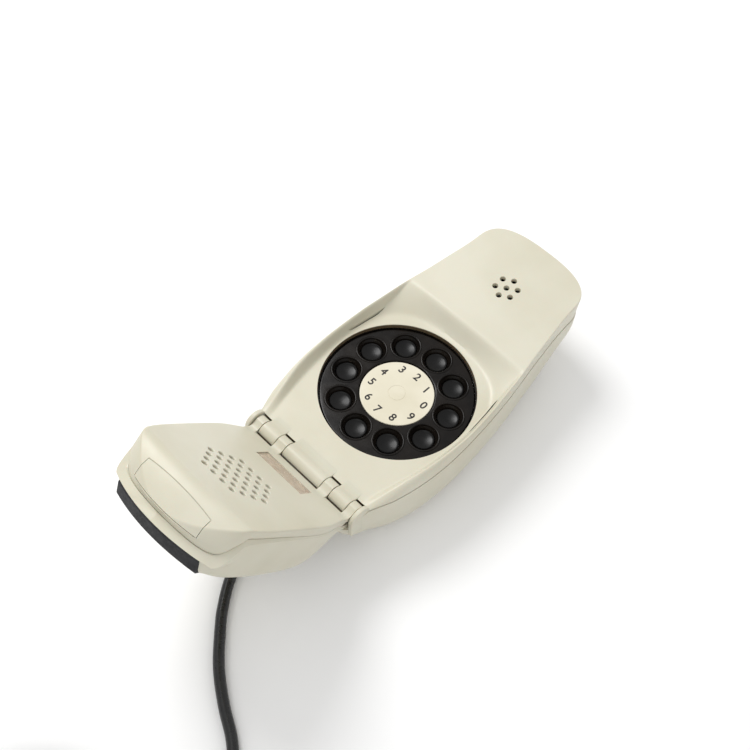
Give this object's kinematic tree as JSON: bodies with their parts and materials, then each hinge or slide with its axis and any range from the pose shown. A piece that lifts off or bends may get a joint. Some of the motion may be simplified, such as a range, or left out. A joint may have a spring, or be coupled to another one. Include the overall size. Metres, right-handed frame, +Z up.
{
  "type": "folding rotary telephone",
  "caption": "Folding handset telephone lying on its back, with push-plunger finger holes in a recessed rotary dial, a hinged mouthpiece flap standing open, and a line cord.",
  "frame": {"origin": "on the table, under the centre of the telephone's bounding box (cord left out)", "axes": "+Y from the hinge to the earpiece, along the body's length; +Z up, out of the dial; +X to the right when facing +Y"},
  "size_m": [0.144, 0.3764, 0.0964],
  "materials": {
    "ivory": "moulded, soft gloss, slightly yellowed",
    "dial_black": "smooth gloss",
    "plunger_black": "polished dished face",
    "plate_ivory": "printed disc",
    "label_card": "card behind a clear window",
    "clear": "thin clear acrylic",
    "rubber": "matte",
    "cord_black": "smooth gloss sheath",
    "steel": "plated, brushed",
    "brass": "cut gear blanks",
    "board": "phenolic board",
    "coil_tape": "varnished winding",
    "film": "dipped film capacitor",
    "nylon": "moulded nylon",
    "grey_metal": "satin enamel",
    "plug_black": "fine texture"
  },
  "bodies": {
    "body": {"rear_shell": "ivory", "front_shell": "ivory", "body_screws": "steel", "hinge_pin": "steel", "hinge_spring": "steel", "receiver_gasket": "rubber", "receiver_capsule": "grey_metal", "circuit_board": "board", "line_transformer": "coil_tape", "line_capacitor": "film", "terminal_block": "plug_black", "hook_switch": "plug_black", "number_plate": "plate_ivory", "dial_spindle": "steel", "dial_housing": "dial_black", "dial_screws": "steel", "dial_frame": "steel", "lower_bridge": "steel", "finger_stop": "steel", "mainspring": "steel", "governor_cup": "steel", "pulse_contacts": "nylon", "strain_relief": "rubber", "cord": "cord_black", "cord_coil": "cord_black", "cord_tie": "rubber", "plug_body": "plug_black", "plug_pins": "brass"},
    "flap": {"flap_front": "ivory", "flap_back": "ivory", "tip_cover": "ivory", "label_card": "label_card", "label_window": "clear", "foot_bar": "rubber", "flap_screws": "steel", "transmitter_gasket": "rubber", "transmitter_capsule": "grey_metal"},
    "dial": {"finger_wheel": "dial_black", "drive_gear": "brass"},
    "plunger_1_body": {"plunger_1": "plunger_black"},
    "plunger_2_body": {"plunger_2": "plunger_black"},
    "plunger_3_body": {"plunger_3": "plunger_black"},
    "plunger_4_body": {"plunger_4": "plunger_black"},
    "plunger_5_body": {"plunger_5": "plunger_black"},
    "plunger_6_body": {"plunger_6": "plunger_black"},
    "plunger_7_body": {"plunger_7": "plunger_black"},
    "plunger_8_body": {"plunger_8": "plunger_black"},
    "plunger_9_body": {"plunger_9": "plunger_black"},
    "plunger_0_body": {"plunger_0": "plunger_black"},
    "pulse": {"pulse_shaft": "steel", "pulse_pinion": "brass", "pulse_cam": "nylon", "pulse_gear": "brass"},
    "governor": {"governor_pinion": "steel", "governor_weights": "brass"},
    "hook": {"hook_plunger": "nylon"}
  },
  "joints": [
    {"name": "flap_hinge", "type": "hinge", "parent": "body", "child": "flap", "pos_m": [0, -0.038, 0.0339], "axis": [1, 0, 0], "range_deg": [-128.5, 0], "stiffness_Nm_per_rad": 0.03, "springref_deg": 28.65},
    {"name": "dial_spin", "type": "hinge", "parent": "body", "child": "dial", "pos_m": [0, 0.017, 0.03], "axis": [0, 0, 1], "range_deg": [-334, 0], "stiffness_Nm_per_rad": 0.004, "springref_deg": 68.75},
    {"name": "plunger_1_press", "type": "slide", "parent": "dial", "child": "plunger_1_body", "axis": [0, 0, -1], "range_m": [0, 0.002], "stiffness_N_per_m": 150, "springref_m": -0.002},
    {"name": "plunger_2_press", "type": "slide", "parent": "dial", "child": "plunger_2_body", "axis": [0, 0, -1], "range_m": [0, 0.002], "stiffness_N_per_m": 150, "springref_m": -0.002},
    {"name": "plunger_3_press", "type": "slide", "parent": "dial", "child": "plunger_3_body", "axis": [0, 0, -1], "range_m": [0, 0.002], "stiffness_N_per_m": 150, "springref_m": -0.002},
    {"name": "plunger_4_press", "type": "slide", "parent": "dial", "child": "plunger_4_body", "axis": [0, 0, -1], "range_m": [0, 0.002], "stiffness_N_per_m": 150, "springref_m": -0.002},
    {"name": "plunger_5_press", "type": "slide", "parent": "dial", "child": "plunger_5_body", "axis": [0, 0, -1], "range_m": [0, 0.002], "stiffness_N_per_m": 150, "springref_m": -0.002},
    {"name": "plunger_6_press", "type": "slide", "parent": "dial", "child": "plunger_6_body", "axis": [0, 0, -1], "range_m": [0, 0.002], "stiffness_N_per_m": 150, "springref_m": -0.002},
    {"name": "plunger_7_press", "type": "slide", "parent": "dial", "child": "plunger_7_body", "axis": [0, 0, -1], "range_m": [0, 0.002], "stiffness_N_per_m": 150, "springref_m": -0.002},
    {"name": "plunger_8_press", "type": "slide", "parent": "dial", "child": "plunger_8_body", "axis": [0, 0, -1], "range_m": [0, 0.002], "stiffness_N_per_m": 150, "springref_m": -0.002},
    {"name": "plunger_9_press", "type": "slide", "parent": "dial", "child": "plunger_9_body", "axis": [0, 0, -1], "range_m": [0, 0.002], "stiffness_N_per_m": 150, "springref_m": -0.002},
    {"name": "plunger_0_press", "type": "slide", "parent": "dial", "child": "plunger_0_body", "axis": [0, 0, -1], "range_m": [0, 0.002], "stiffness_N_per_m": 150, "springref_m": -0.002},
    {"name": "pulse_spin", "type": "hinge", "parent": "body", "child": "pulse", "pos_m": [-0.01732, 0.007, 0.015], "axis": [0, 0, 1], "range_deg": [0, 1336]},
    {"name": "governor_spin", "type": "hinge", "parent": "body", "child": "governor", "pos_m": [-0.01732, -0.0074, 0.015], "axis": [0, 0, 1], "range_deg": [-4008, 0]},
    {"name": "hook_slide", "type": "slide", "parent": "body", "child": "hook", "axis": [0, 1, 0], "range_m": [0, 0.0015]}
  ],
  "couplings": [
    {"joint": "pulse_spin", "follows": "dial_spin", "ratio": -4},
    {"joint": "governor_spin", "follows": "dial_spin", "ratio": 12},
    {"joint": "hook_slide", "follows": "flap_hinge", "m_per_rad": -0.000668}
  ]
}
